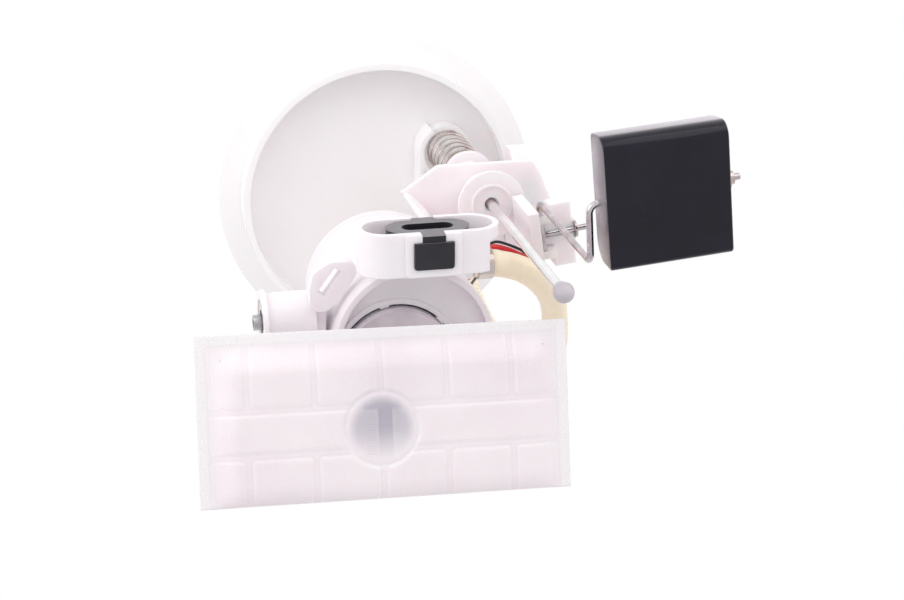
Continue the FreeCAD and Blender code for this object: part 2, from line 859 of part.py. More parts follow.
def ear():
    """A flat lobe with a slanted slot, between the regulator's base and the band."""
    low = ear_z - ear_thickness / 2
    lobe = prism([(x, y, low) for x, y in ear_outline], point(0, 0, ear_thickness))
    lobe = lobe.makeFillet(ear_corner, upright_edges(lobe))
    slot = block(-ear_slot_length / 2, ear_slot_length / 2, -ear_slot_width / 2,
                 ear_slot_width / 2, low, low + ear_thickness)
    slot.rotate(point(0, 0, 0), point(0, 0, 1), ear_slot_turn)
    slot.translate(point(ear_slot_x, ear_slot_y, 0))
    return lobe.cut(slot)


def regulator_right():
    return regulator_left_x + regulator_length - regulator_clearance


def pressure_regulator():
    """A sealed can with its return stub to the left and a groove for its seal."""
    left = regulator_left_x + 1.0
    high = regulator_right() - regulator_groove_setback
    can_radius = regulator_bore - regulator_clearance
    can = rod_along_x(can_radius, left, regulator_right(), regulator_y, regulator_z)
    stub = tube_along_x(regulator_stub_radius, regulator_stub_radius - can_wall,
                        left - regulator_stub, left, regulator_y, regulator_z)
    groove = tube_along_x(regulator_bore, regulator_bore - regulator_groove_depth,
                          high - regulator_groove_width, high, regulator_y, regulator_z)
    return can.cut(groove).fuse(stub)


def regulator_oring():
    high = regulator_right() - regulator_groove_setback - seat_gap
    return tube_along_x(regulator_bore - running_gap,
                        regulator_bore - regulator_groove_depth + seat_gap,
                        high - regulator_groove_width + 2 * seat_gap, high,
                        regulator_y, regulator_z)


def regulator_retainer():
    """A spring-steel ring in the cup's mouth that keeps the regulator in."""
    return tube_along_x(regulator_bore - running_gap, regulator_stub_radius + 1.5,
                        regulator_left_x + 0.2, regulator_left_x + 0.9,
                        regulator_y, regulator_z)


# Pump

def pump_can():
    return ring(pump_radius, pump_radius - can_wall, can_low_z, can_high_z, sleeve_x, sleeve_y)


def pump_inlet_cover():
    """The lower cover, with the impeller's chamber and the inlet spigot."""
    inside = pump_radius - can_wall - running_gap
    top = plate_low_z
    body = post(inside, inlet_cover_low_z, top, sleeve_x, sleeve_y)
    flange_ring = post(pump_radius - 0.4, inlet_cover_low_z, can_low_z - seat_gap,
                       sleeve_x, sleeve_y)
    spigot = post(inlet_radius, inlet_cover_low_z - inlet_length, inlet_cover_low_z,
                  sleeve_x + inlet_offset_x, sleeve_y + inlet_offset_y)
    chamber = post(impeller_radius + 0.4, top - impeller_thickness - 0.4, top,
                   sleeve_x, sleeve_y)
    bore = post(inlet_bore, inlet_cover_low_z - inlet_length, top,
                sleeve_x + inlet_offset_x, sleeve_y + inlet_offset_y)
    return fused([body, flange_ring, spigot]).cut(fused([chamber, bore]))


def pump_bearing_plate():
    inside = pump_radius - can_wall - running_gap
    return ring(inside, shaft_radius + running_gap, plate_low_z, plate_low_z + plate_thickness,
                sleeve_x, sleeve_y)


def pump_outlet_cover():
    """The upper cover: it carries the top bearing, the brushes and the outlet."""
    inside = pump_radius - can_wall - running_gap
    low = can_high_z - outlet_cover_height
    y = sleeve_y + pump_outlet_offset
    body = ring(inside, brush_cavity, low, can_high_z, sleeve_x, sleeve_y)
    roof = ring(inside, shaft_radius + running_gap, can_high_z - cover_roof, can_high_z,
                sleeve_x, sleeve_y)
    top = can_high_z + pump_outlet_length
    outlet = post(pump_outlet_radius, can_high_z, top, sleeve_x, y)
    stop_z = can_high_z + valve_seat + valve_height + valve_lift
    bore = fused([post(pump_outlet_bore, can_high_z + valve_seat, stop_z, sleeve_x, y),
                  post(valve_stop_bore, low, top, sleeve_x, y)])
    return fused([body, roof, outlet]).cut(fused([bore] + blade_terminals(0.0)))


def blade_terminals(gap):
    """Two blade terminals side by side through the pump's upper cover and the lid."""
    low = can_high_z - cover_roof - 2.0
    blades = []
    for index in range(2):
        x = sleeve_x + blade_terminal_x + (index - 0.5) * blade_terminal_pitch
        y = sleeve_y + blade_terminal_y
        half = blade_terminal_width / 2 + gap
        thick = blade_terminal_thickness / 2 + gap
        blades.append(block(x - half, x + half, y - thick, y + thick, low,
                            blade_terminal_top_z))
    return blades


def pump_terminals():
    return Part.makeCompound(blade_terminals(0.0))


def motor_magnets():
    """Two curved magnets inside the can."""
    outer = pump_radius - can_wall - running_gap
    low = plate_low_z + plate_thickness + 2.0
    high = can_high_z - outlet_cover_height - 2.0
    magnets = []
    for start in (-magnet_angle / 2, 180 - magnet_angle / 2):
        magnet = sector(outer, low, high, start, start + magnet_angle, sleeve_x, sleeve_y)
        magnets.append(magnet.cut(post(outer - magnet_wall, low, high, sleeve_x, sleeve_y)))
    return Part.makeCompound(magnets)


def armature():
    """The laminated core with its winding slots."""
    low = plate_low_z + plate_thickness + 4.0
    core = post(armature_radius, low, low + armature_length, sleeve_x, sleeve_y)
    slots = [post(shaft_radius, low, low + armature_length, sleeve_x, sleeve_y)]
    for index in range(armature_slots):
        slot = block(5.0, armature_radius + 1.0, -1.0, 1.0, low, low + armature_length)
        slot.rotate(point(0, 0, 0), point(0, 0, 1), 360.0 * index / armature_slots)
        slot.translate(point(sleeve_x, sleeve_y, 0))
        slots.append(slot)
    return core.cut(fused(slots))


def motor_shaft():
    return post(shaft_radius, plate_low_z - impeller_thickness, can_high_z - 0.8,
                sleeve_x, sleeve_y)


def commutator():
    high = can_high_z - 4.0
    return ring(commutator_radius, shaft_radius, high - commutator_length, high,
                sleeve_x, sleeve_y)


def impeller():
    """A disc with short blades cut into its rim, keyed on the shaft."""
    low = plate_low_z - impeller_thickness - 0.2
    high = plate_low_z - 0.2
    disc = ring(impeller_radius, shaft_radius, low, high, sleeve_x, sleeve_y)
    gaps = []
    for index in range(blade_count):
        gap = block(impeller_radius - blade_length, impeller_radius + 1.0, -0.9, 0.9, low, high)
        gap.rotate(point(0, 0, 0), point(0, 0, 1), 360.0 * index / blade_count)
        gap.translate(point(sleeve_x, sleeve_y, 0))
        gaps.append(gap)
    return disc.cut(fused(gaps))


def brushes():
    """Two carbon brushes that press on the commutator."""
    high = can_high_z - 4.0
    low = high - commutator_length / 2 - brush_size / 2
    pair = []
    for side in (-1, 1):
        near = sleeve_x + side * (commutator_radius + seat_gap)
        far = near + side * (brush_length - 2.0)
        pair.append(block(min(near, far), max(near, far), sleeve_y - brush_size / 2,
                          sleeve_y + brush_size / 2, low, low + brush_size))
    return Part.makeCompound(pair)


def check_valve_poppet():
    """A mushroom that closes the pump's outlet from above."""
    low = can_high_z + valve_seat
    x = sleeve_x
    y = sleeve_y + pump_outlet_offset
    head = Part.makeCylinder(valve_radius, valve_height * 0.3, point(x, y, low))
    stem = post(valve_stop_bore * 0.6, low, low + valve_height, x, y)
    return head.fuse(stem)


def check_valve_spring():
    """Three coils between the poppet's head and the stop above it."""
    low = can_high_z + valve_seat + valve_height * 0.3 + valve_spring_wire / 2 + running_gap
    high = can_high_z + valve_seat + valve_height + valve_lift
    height = high - valve_spring_wire / 2 - running_gap - low
    return coil(valve_radius - valve_spring_wire / 2 - running_gap, valve_spring_wire, height,
                valve_spring_coils, sleeve_x, sleeve_y + pump_outlet_offset, low)


def pump_cushion():
    """A rubber ring between the pump's can and the sleeve."""
    return ring(sleeve_bore - running_gap, pump_radius + running_gap, cushion_low_z,
                cushion_low_z + cushion_height, sleeve_x, sleeve_y)


# Strainer, made flat about the middle of its neck and then pitched

def pitched(shape):
    shape.rotate(point(0, 0, 0), point(0, 0, 1), strainer_turn)
    shape.rotate(point(0, 0, 0), point(1, 0, 0), -strainer_pitch)
    shape.translate(point(strainer_x, strainer_y, strainer_z))
    return shape


def strainer_rectangle(inset, z):
    """The bag's outline at one height, set in from its rim."""
    left = -strainer_left + inset
    right = strainer_width - strainer_left - inset
    front = -strainer_above + inset
    back = strainer_height - strainer_above - inset
    corners = [point(left, front, z), point(right, front, z),
               point(right, back, z), point(left, back, z)]
    return Part.makePolygon(corners + corners[:1])


def pillow(inset, rim, puff):
    """A flat pillow that rises from a rim to a level middle on both sides."""
    slopes = []
    for side in (-1, 1):
        slopes.append(Part.makeLoft(
            [strainer_rectangle(inset, side * rim),
             strainer_rectangle(inset + strainer_slope, side * puff)], True, True))
    middle = Part.makeLoft([strainer_rectangle(inset, -rim), strainer_rectangle(inset, rim)],
                           True, True)
    return fused(slopes + [middle])


def strainer_bag():
    """A hollow mesh bag with a flat sealed rim."""
    rim = strainer_sheet / 2
    sheet = Part.makeLoft([strainer_rectangle(0.0, -rim), strainer_rectangle(0.0, rim)],
                          True, True)
    outside = sheet.fuse(pillow(strainer_seam, rim, strainer_puff))
    inside = pillow(strainer_seam + bag_wall, rim / 2, strainer_puff - bag_wall)
    hole = post(neck_radius + running_gap, 0, strainer_puff + 1.0)
    return pitched(outside.cut(inside).cut(hole))


def strainer_frame():
    """The lattice that holds the bag's two faces apart, with a pad under the neck."""
    half = frame_thickness / 2
    left = -strainer_left + strainer_seam + frame_margin
    right = strainer_width - strainer_left - strainer_seam - frame_margin
    front = -strainer_above + strainer_seam + frame_margin
    back = strainer_height - strainer_above - strainer_seam - frame_margin
    columns = [left + frame_rib / 2, right - frame_rib / 2]
    columns += [frame_first_column + frame_pitch * index for index in range(frame_columns)]
    rows = [front + frame_rib / 2, back - frame_rib / 2] + list(frame_row_places)
    bars = [block(x - frame_rib / 2, x + frame_rib / 2, front, back, -half, 0) for x in columns]
    bars += [block(left, right, y - frame_rib / 2, y + frame_rib / 2, -half, 0) for y in rows]
    pad = post(neck_radius - 2.0, -strainer_puff + bag_wall + seat_gap, 0)
    return pitched(fused(bars + [pad]))


def strainer_neck():
    """The moulded neck that the pump's inlet spigot stands in."""
    foot = pitched(post(neck_radius, seat_gap, neck_height))
    x = sleeve_x + inlet_offset_x
    y = sleeve_y + inlet_offset_y
    collar = post(inlet_radius + neck_wall, strainer_z + collar_foot,
                  inlet_cover_low_z - collar_drop, x, y)
    bore = post(inlet_radius + running_gap, inlet_cover_low_z - inlet_length - seat_gap,
                inlet_cover_low_z, x, y)
    way = post(inlet_bore, strainer_z - neck_wall, inlet_cover_low_z, x, y)
    return collar.fuse(foot).cut(fused([bore, way]))


def strainer_retainer():
    """A spring-steel push nut round the inlet spigot, on top of the strainer's neck."""
    x = sleeve_x + inlet_offset_x
    y = sleeve_y + inlet_offset_y
    low = inlet_cover_low_z - collar_drop + seat_gap
    return ring(nut_radius, inlet_radius + running_gap, low, low + nut_thickness, x, y)


# Level sender, in the pin's own frame

def in_place(shape):
    shape.rotate(point(0, 0, 0), point(0, 0, 1), sender_yaw)
    shape.translate(point(sender_x, sender_y, sender_z))
    return shape


def sender_housing():
    foot_z = deck_top_z - deck_thickness - sender_z
    wall = block(housing_left, housing_right, housing_high_y, housing_low_y,
                 housing_foot, housing_top)
    web = block(housing_left, housing_right, housing_web_y, housing_low_y,
                housing_top, foot_z - seat_gap)
    pocket = block(housing_right - card_thickness, housing_right,
                   housing_high_y + card_margin, housing_low_y - card_margin,
                   housing_foot + card_margin, housing_top - card_margin)
    hole = rod_along_x(pin_radius, pin_left, housing_right, 0, 0)
    return in_place(wall.fuse(web).cut(pocket.fuse(hole)))


def resistor_card():
    card = block(housing_right - card_thickness, housing_right - running_gap,
                 housing_high_y + card_margin + seat_gap,
                 housing_low_y - card_margin - seat_gap,
                 housing_foot + card_margin + seat_gap, housing_top - card_margin - seat_gap)
    hole = rod_along_x(hub_radius, housing_left, housing_right, 0, 0)
    return in_place(card.cut(hole))


def pivot_pin():
    return in_place(rod_along_x(pin_radius, pin_left, pin_right, 0, 0))


def pin_retainer():
    left = hub_end + running_gap
    return in_place(tube_along_x(retainer_radius, pin_radius, left, left + retainer_thickness,
                                 0, 0))


def arm_holder():
    """The rotor: it snaps over the pin from behind, and the float arm's wire is clipped into it."""
    body = block(holder_left, holder_right, holder_high_y, holder_low_y,
                 holder_front, holder_back)
    hub = rod_along_x(hub_radius, housing_right + wall_gap, hub_end, 0, 0)
    hub = hub.cut(block(housing_right, hub_end, -hub_radius, hub_radius,
                        -hub_radius, holder_front))
    clips = []
    for low in clip_places:
        clips.append(block(clip_left, holder_left, low, low + clip_width,
                           wire_z - 2 * wire_radius, clip_back))
    groove = rod_along_y(wire_radius + groove_gap, holder_high_y - wire_bend,
                         holder_low_y, wire_x, wire_z)
    bore = rod_along_x(pin_radius + running_gap, housing_right, hub_end, 0, 0)
    return in_place(fused([body, hub] + clips).cut(fused([groove, bore])))


def wiper_contact():
    """A spring fork that rides on the resistor card, behind the rotor."""
    near = hub_radius + seat_gap
    return in_place(block(housing_right + seat_gap, holder_left, near, near + wiper_width,
                          holder_back - wiper_thickness, holder_back))


def float_arm():
    corners = [(wire_x, wire_tail_y, wire_z), (wire_x, wire_elbow_y, wire_z),
               (wire_reach_x, wire_reach_y, wire_reach_z),
               (wire_float_x, float_axis_y, wire_reach_z),
               (wire_end, float_axis_y, wire_reach_z)]
    path = bent_path(corners, [wire_bend] * 3)
    return in_place(swept_round(path, wire_radius))


def float_body():
    """A block with rounded edges, set a little askew on the wire that it turns on."""
    centre = float_axis_y + float_shift
    shape = block(float_left, float_left + float_length, centre - float_width / 2,
                  centre + float_width / 2, wire_reach_z - float_thickness / 2,
                  wire_reach_z + float_thickness / 2)
    long_edges = [edge for edge in shape.Edges
                  if abs(edge.Vertexes[0].Point.x - edge.Vertexes[-1].Point.x) > 1.0]
    shape = shape.makeFillet(float_edge, long_edges)
    shape.rotate(point(float_left + float_length / 2, centre, 0), point(0, 0, 1), float_skew)
    bore = rod_along_x(float_bore, float_left - float_length, float_left + 2 * float_length,
                       float_axis_y, wire_reach_z)
    return in_place(shape.cut(bore))


def float_washer():
    left = float_left + float_length + float_play
    return in_place(tube_along_x(washer_radius, wire_radius, left, left + washer_thickness,
                                 float_axis_y, wire_reach_z))


def float_clip():
    left = float_left + float_length + float_play + washer_thickness
    return in_place(tube_along_x(clip_radius, wire_radius, left, left + clip_length,
                                 float_axis_y, wire_reach_z))


# Hose and leads

def hose_path():
    return bent_path(hose_route, free_bends(hose_route))


def fuel_hose():
    return swept_tube(hose_path(), hose_radius, hose_bore)


def lead(route):
    """One insulated wire; the plug and the terminals hold its ends."""
    return swept_round(bent_path(route, free_bends(route)), lead_radius)


def hose_clamp_low():
    left = canister_x + canister_radius + clamp_setback
    return tube_along_x(hose_radius + clamp_thickness, hose_radius, left, left + clamp_width,
                        nipple_y, nipple_z)


def hose_clamp_high():
    high = -post_foot - barb_length / 2
    return ring(hose_radius + clamp_thickness, hose_radius, high - clamp_width, high,
                outlet_x, outlet_y)


def parts():
    return {
        "flange": flange(),
        "connector_terminals": connector_terminals(),
        "guide_rod": guide_rod(),
        "rod_ball_tip": rod_ball_tip(),
        "strut_spring": strut_spring(),
        "stop_leg": stop_leg(),
        "filter_canister": filter_canister(),
        "canister_cap": canister_cap(),
        "outlet_oring": outlet_oring(),
        "filter_element": filter_element(),
        "strut_bracket": strut_bracket(),
        "isolator_band": isolator_band(),
        "rubber_isolator": rubber_isolator(),
        "regulator_housing": regulator_housing(),
        "pressure_regulator": pressure_regulator(),
        "regulator_oring": regulator_oring(),
        "regulator_retainer": regulator_retainer(),
        "pump_can": pump_can(),
        "pump_inlet_cover": pump_inlet_cover(),
        "pump_bearing_plate": pump_bearing_plate(),
        "pump_outlet_cover": pump_outlet_cover(),
        "pump_terminals": pump_terminals(),
        "motor_magnets": motor_magnets(),
        "armature": armature(),
        "motor_shaft": motor_shaft(),
        "commutator": commutator(),
        "impeller": impeller(),
        "brushes": brushes(),
        "check_valve_poppet": check_valve_poppet(),
        "check_valve_spring": check_valve_spring(),
        "pump_cushion": pump_cushion(),
        "strainer_bag": strainer_bag(),
        "strainer_frame": strainer_frame(),
        "strainer_neck": strainer_neck(),
        "strainer_retainer": strainer_retainer(),
        "sender_housing": sender_housing(),
        "resistor_card": resistor_card(),
        "pivot_pin": pivot_pin(),
        "pin_retainer": pin_retainer(),
        "arm_holder": arm_holder(),
        "wiper_contact": wiper_contact(),
        "float_arm": float_arm(),
        "float": float_body(),
        "float_washer": float_washer(),
        "float_clip": float_clip(),
        "fuel_hose": fuel_hose(),
        "hose_clamp_low": hose_clamp_low(),
        "hose_clamp_high": hose_clamp_high(),
        "sender_lead_red": lead(red_lead_route),
        "sender_lead_black": lead(black_lead_route),
        "pump_lead_plus": lead(pump_lead_routes[0]),
        "pump_lead_minus": lead(pump_lead_routes[1]),
    }


os.makedirs("parts", exist_ok=True)
print("hose bend radii", [round(bend, 1) for bend in free_bends(hose_route)])
for name, shape in parts().items():
    shape.exportStep("parts/" + name + ".step")
    print(name, len(shape.Solids), round(shape.Volume, 1), shape.isValid())
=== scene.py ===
import json
import math

import bpy
import numpy as np
from mathutils import Matrix, Vector


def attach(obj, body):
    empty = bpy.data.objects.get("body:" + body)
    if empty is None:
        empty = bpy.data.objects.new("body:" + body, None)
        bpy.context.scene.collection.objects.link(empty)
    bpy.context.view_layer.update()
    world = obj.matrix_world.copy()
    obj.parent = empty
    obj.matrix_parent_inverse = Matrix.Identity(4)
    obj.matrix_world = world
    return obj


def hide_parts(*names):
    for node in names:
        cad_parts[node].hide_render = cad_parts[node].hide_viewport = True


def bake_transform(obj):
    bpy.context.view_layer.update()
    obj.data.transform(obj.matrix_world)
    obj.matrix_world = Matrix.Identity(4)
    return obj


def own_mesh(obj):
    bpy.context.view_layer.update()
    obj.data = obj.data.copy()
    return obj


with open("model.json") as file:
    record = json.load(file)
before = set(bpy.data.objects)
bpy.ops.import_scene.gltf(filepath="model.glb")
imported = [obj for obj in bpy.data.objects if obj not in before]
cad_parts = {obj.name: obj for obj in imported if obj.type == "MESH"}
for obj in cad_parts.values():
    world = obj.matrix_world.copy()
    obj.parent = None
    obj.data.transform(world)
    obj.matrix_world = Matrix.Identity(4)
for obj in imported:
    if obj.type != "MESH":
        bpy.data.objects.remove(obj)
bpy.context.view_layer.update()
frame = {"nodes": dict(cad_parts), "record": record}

# Electric fuel pump module, seen from its strainer end.
# Places and sizes are in millimetres, in the frame's own axes, and become metres where a mesh
# is made.
mm = 0.001

# Camera
camera_place = (-129.0, -217.5, -725.4)
camera_aim = (-4.2, -9.9, -154.7)
camera_up = (0.0, -1.0, 0.0)
camera_lens = 79.65
camera_sensor = 36.0
camera_near = 10.0
camera_far = 20000.0

# Floor, far below the hanging module, and soft light from all sides
floor_z = -900.0
floor_radius = 2500.0
floor_sides = 96
floor_dark = (0.86, 0.86, 0.86)
floor_light = (0.88, 0.88, 0.88)
floor_mottle = 3.0
floor_roughness = 0.8
ambient = 0.85
ambient_tint = (1.0, 0.985, 0.995, 1.0)
lamp_tint = (1.0, 0.985, 0.99)
lamp_up = (0.3, 0.2, 1.0)
lamps = {
    "key_lamp": ((250.0, -800.0, -520.0), 600.0, 1.3),
    "fill_lamp": ((-700.0, -600.0, -500.0), 900.0, 1.0),
    "front_lamp": ((-254.0, -425.0, -1296.0), 700.0, 1.7),
    "low_left_lamp": ((-420.0, -260.0, -170.0), 300.0, 0.65),
    "low_right_lamp": ((430.0, -300.0, -130.0), 300.0, 0.5),
}

# Strainer bag, in its own plane: across, along, and its place on the pump's inlet
bag_place = (-29.8, 19.8, -178.5)
bag_pitch = 17.0
bag_turn = 1.5
bag_left = -56.6
bag_right = 56.9
bag_above = -29.4
bag_below = 22.2
bag_seam = 3.2
bag_sheet = 0.35
bag_puff = 3.1
bag_slope = 9.0
bag_fold = 6.0
bag_step = 0.27
bag_middle_step = 0.45
bag_rib_step = 0.2
crease_height = 0.14
crease_across = 7.3
crease_along = 6.7
crease_sway = 5.1
crease_sway_share = 0.9
crease_drift = 19.0
seam_pitch = 1.27
seam_sharpness = 1.1
seam_dot_margin = 0.2
seam_margin = 0.4
seam_edge = 0.6
seam_relief = 0.12
# Painted shade in the pits of the seam's knurl, and a paler colour over the whole seam
knurl_shade = 0.7
seam_white = 0.7
lattice_first = -41.9
lattice_pitch = 20.15
lattice_count = 5
lattice_bar = 2.3
lattice_left = -53.2
lattice_right = 53.0
lattice_upper = -6.4
lattice_lower = 7.1
panel_corner = 0.9
panel_lift = 0.22
panel_edge = 0.9
ridge_width = 0.28
ridge_height = 0.08
# Painted highlight along the pressed ridges
ridge_highlight = 0.42
bar_offset = 0.5
bar_width = 0.35
# Painted shade along the lattice's bars
bar_shade = 0.2
# How the painted highlight of the pressed lines wanders in strength along the bag
highlight_across = 6.1
highlight_along = 5.2
highlight_sway = 4.3
highlight_sway_share = 1.7
highlight_drift = 23.0
highlight_mean = 0.62
highlight_range = 0.38
weld_place = (-1.7, 0.8)
weld_radius = 11.2
weld_slope = 1.2
weld_width = 0.6
weld_depth = 0.25
weld_edge = 0.8
# Painted highlight round the weld, weakest at its top
weld_line_width = 0.4
weld_line_least = 0.15
weld_line_start = 1.0
weld_line_length = 5.0
slot_left = -2.7
slot_right = 1.6
slot_top = -5.2
slot_foot = 9.0
tee_left = -7.4
tee_right = 4.6
tee_top = -9.4
flap_left = -6.2
flap_right = 3.9
flap_reach = 3.0
# Painted highlight on the flap's edges
flap_highlight = 0.7
flap_top_offset = 0.5
flap_top_width = 0.3
flap_top_end = 0.4
flap_side_offset = 0.3
flap_side_foot = 4.0
flap_line_width = 0.25
flap_line_end = 0.8
strip_gap = 0.2
strip_foot = 1.8
strip_offset = 0.5
strip_slant = 0.07
rib_pitch = 0.8
rib_gap = 0.7
rib_drop = 1.0
rib_foot = 8.3
rib_edge = 0.3
rib_end = 0.5
rib_relief = 0.08
# Painted shade between the flap's ribs
rib_shade = 0.3

# Painted shade where the dark inlet and the holder would show through the cloth, from 0 to 1, and
# how softly
inlet_dark = 0.47
inlet_edge = 4.2
inlet_fade = 0.9
inlet_fade_start = -1.0
inlet_fade_length = 12.0
slot_dark = 0.2
slot_edge = 0.35
slot_reach = 1.0
slot_end = 1.5
tee_share = 0.8
tee_edge = 1.4
tee_end = 0.8
rim_dark = 0.035
rim_offset = 0.5
rim_width = 0.4
rim_end = 1.0
holder_shade = 0.07
holder_above = 14.0
holder_spread = 15.0
holder_stretch = 0.8

# Strut spring
strut_x = 26.0
strut_y = -17.0
spring_radius = 7.5
spring_wire = 0.85
spring_head_z = -7.1
spring_foot_z = -42.9
spring_turns = 7.25
spring_end_turns = 0.9

# Coils
coil_steps = 48
coil_sides = 12
coil_closed_climb = 0.16
coil_closed_share = 0.35

# Check valve's spring
valve_x = -21.4
valve_y = 16.4
valve_radius = 1.95
valve_wire = 0.4
valve_head_z = -89.95
valve_foot_z = -94.56
valve_turns = 4.5
valve_end_turns = 0.7

# Fuel hose and leads
hose_radius = 4.4
hose_route = [(11.2, -7.5, -115.0), (19.0, -7.8, -115.0), (30.3, -4.2, -115.0),
              (38.8, 4.4, -115.5), (39.6, 14.4, -117.0), (39.4, 24.5, -117.0),
              (36.0, 36.0, -107.0), (27.8, 36.0, -75.0), (28.6, 32.5, -36.0),
              (30.0, 28.0, -22.0), (30.0, 28.0, -9.0)]
tube_roundness = 6
tube_steps = 14
tube_order = 3
lead_radius = 0.9
thin_lead_radius = 0.5
thin_leads = ("sender_lead_black",)
red_leads = ("sender_lead_red", "pump_lead_plus")
lead_routes = {
    "sender_lead_red": [(33.4, -7.0, -101.0), (35.0, -4.0, -104.5), (30.5, -6.4, -107.0),
                        (24.5, -9.6, -107.0), (19.5, -9.6, -103.0), (18.0, 0.0, -96.0),
                        (16.0, 10.5, -82.0), (12.0, 20.0, -60.0), (10.5, 31.0, -36.0),
                        (10.5, 40.0, -18.0), (10.5, 40.0, -9.0)],
    "sender_lead_black": [(33.6, -4.0, -101.0), (32.5, -6.6, -103.5), (27.0, -9.5, -104.0),
                          (21.0, -11.4, -102.5), (19.0, -4.0, -97.0), (19.6, 11.0, -83.0),
                          (16.5, 22.0, -60.0), (15.5, 32.0, -36.0), (15.5, 40.0, -18.0),
                          (15.5, 40.0, -9.0)],
    "pump_lead_plus": [(-17.4, 0.4, -87.9), (-17.4, 1.5, -80.0), (-14.0, 8.0, -68.0),
                       (-8.0, 20.0, -50.0), (-3.0, 32.0, -32.0), (0.5, 40.0, -18.0),
                       (0.5, 40.0, -9.0)],
    "pump_lead_minus": [(-10.4, 0.4, -87.9), (-10.4, 1.0, -80.0), (-8.0, 6.0, -70.0),
                        (-2.0, 18.0, -52.0), (3.0, 31.0, -32.0), (5.5, 40.0, -18.0),
                        (5.5, 40.0, -9.0)],
}

# Float, in the level sender's own frame
sender_place = (48.1, -9.0, -91.0)
sender_yaw = -7.4
float_left = -0.6
float_right = 39.8
float_near_y = -50.7
float_far_y = -7.3
float_skew = 2.2
float_front_z = -68.5
float_back_z = -53.5
float_end_round = 0.7
float_end_steps = 4
float_corner_steps = 8
float_draft = 1.9
float_corners = (5.0, 1.8, 7.4, 1.6)

# Finishes
film_index = 1.25
film_gloss = 0.7
film_sheen = 0.8
film_sheen_roughness = 0.35
film_tint = (0.95, 0.86, 0.95, 1.0)
mottle_low = 0.36
mottle_high = 0.64
patch_low = 0.3
patch_high = 0.7
mottle_detail = 3.0
patch_detail = 4.0
grain_detail = 3.0
bevel_samples = 4
plastic_mottle = 60.0
plastic_patch = 220.0
plastic_smoother = 0.06
plastic_rougher = 0.08
plastic_edge = 0.35
metal_mottle = 150.0
metal_patch = 400.0
metal_smoother = 0.05
metal_rougher = 0.08
metal_grain = 500.0
metal_depth = 0.01
metal_edge = 0.2
cloth_dark = (0.875, 0.80, 0.84)
cloth_light = (0.925, 0.87, 0.895)
# Colour of the painted shade along the bars, in the knurl and between the ribs
groove_shade_colour = (0.78, 0.69, 0.745)
# Colour of the painted highlights, also laid over the seam
ridge_highlight_colour = (0.985, 0.965, 0.975)
# Colour of the painted shade where the inlet would show through the cloth
inlet_shade_colour = (0.30, 0.295, 0.385)
cloth_roughness = 0.55
cloth_sheen = 0.15
cloth_mottle = 22.0
thread_scale = 600.0
thread_depth = 0.04
glow_tint = (1.0, 0.75, 0.8)
glow_depth = 3.0
mix_ground = 6
mix_colour = 7
mix_result = 2
node_finish = {"float_arm": "steel_wire", "pivot_pin": "steel_wire",
               "pump_cushion": "cushion_grey", "strut_bracket": "acetal_clear",
               "arm_holder": "acetal_clear"}

# Each finish: a darker and a lighter colour, and a roughness
plastics = {
    "acetal_white": ((0.90, 0.84, 0.875), (0.935, 0.89, 0.915), 0.34),
    # acetal_flange is the same acetal painted paler, painted light that stands in for the bright
    # light washing out the flange
    "acetal_flange": ((0.975, 0.962, 0.97), (0.985, 0.975, 0.98), 0.36),
    "acetal_clear": ((0.90, 0.845, 0.87), (0.935, 0.89, 0.905), 0.34),
    "nylon_frame": ((0.86, 0.81, 0.84), (0.90, 0.86, 0.88), 0.42),
    "nylon_hose": ((0.985, 0.83, 0.62), (0.99, 0.87, 0.68), 0.28),
    "rubber_grey": ((0.03, 0.03, 0.033), (0.045, 0.045, 0.05), 0.55),
    "cushion_grey": ((0.42, 0.38, 0.41), (0.52, 0.48, 0.51), 0.5),
    "tip_grey": ((0.50, 0.46, 0.50), (0.68, 0.63, 0.665), 0.45),
    "pump_plastic": ((0.56, 0.51, 0.545), (0.80, 0.73, 0.775), 0.42),
    "magnet": ((0.05, 0.05, 0.055), (0.08, 0.08, 0.085), 0.5),
    "carbon": ((0.02, 0.02, 0.02), (0.04, 0.04, 0.04), 0.6),
    "card_beige": ((0.72, 0.58, 0.38), (0.80, 0.66, 0.46), 0.45),
    "paper": ((0.70, 0.60, 0.38), (0.80, 0.70, 0.48), 0.75),
    "wire_red": ((0.55, 0.01, 0.012), (0.68, 0.02, 0.02), 0.35),
    "wire_black": ((0.012, 0.012, 0.015), (0.02, 0.02, 0.024), 0.38),
}
metals = {
    "steel_bright": ((0.88, 0.87, 0.87), (0.95, 0.94, 0.94), 0.2),
    "steel_spring": ((0.44, 0.37, 0.35), (0.64, 0.57, 0.54), 0.2),
    "steel_can": ((0.42, 0.42, 0.45), (0.52, 0.52, 0.55), 0.28),
    "steel_wire": ((0.46, 0.41, 0.44), (0.68, 0.62, 0.65), 0.12),
    "core_steel": ((0.28, 0.28, 0.30), (0.38, 0.38, 0.40), 0.35),
    "copper_tin": ((0.62, 0.36, 0.20), (0.74, 0.46, 0.28), 0.24),
    "copper": ((0.60, 0.30, 0.17), (0.72, 0.40, 0.24), 0.22),
}
skins = {
    "rubber_black": ((0.016, 0.015, 0.02), (0.026, 0.025, 0.032), 0.4),
    "float_black": ((0.002, 0.002, 0.008), (0.006, 0.005, 0.014), 0.2),
}

# Where a finish departs from the usual: light inside the plastic, and the grain and its depth
glow = {"acetal_white": 0.4, "acetal_flange": 0.4, "acetal_clear": 0.9, "nylon_frame": 0.2,
        "nylon_hose": 0.2, "nylon_mesh": 0.3}
plastic_grain = 900.0
plastic_depth = 0.04
other_grain = {"tip_grey": (700.0, 0.08), "pump_plastic": (500.0, 0.1),
                "float_black": (1400.0, plastic_depth)}


# Meshes

def metres(place):
    return Vector(place) * mm


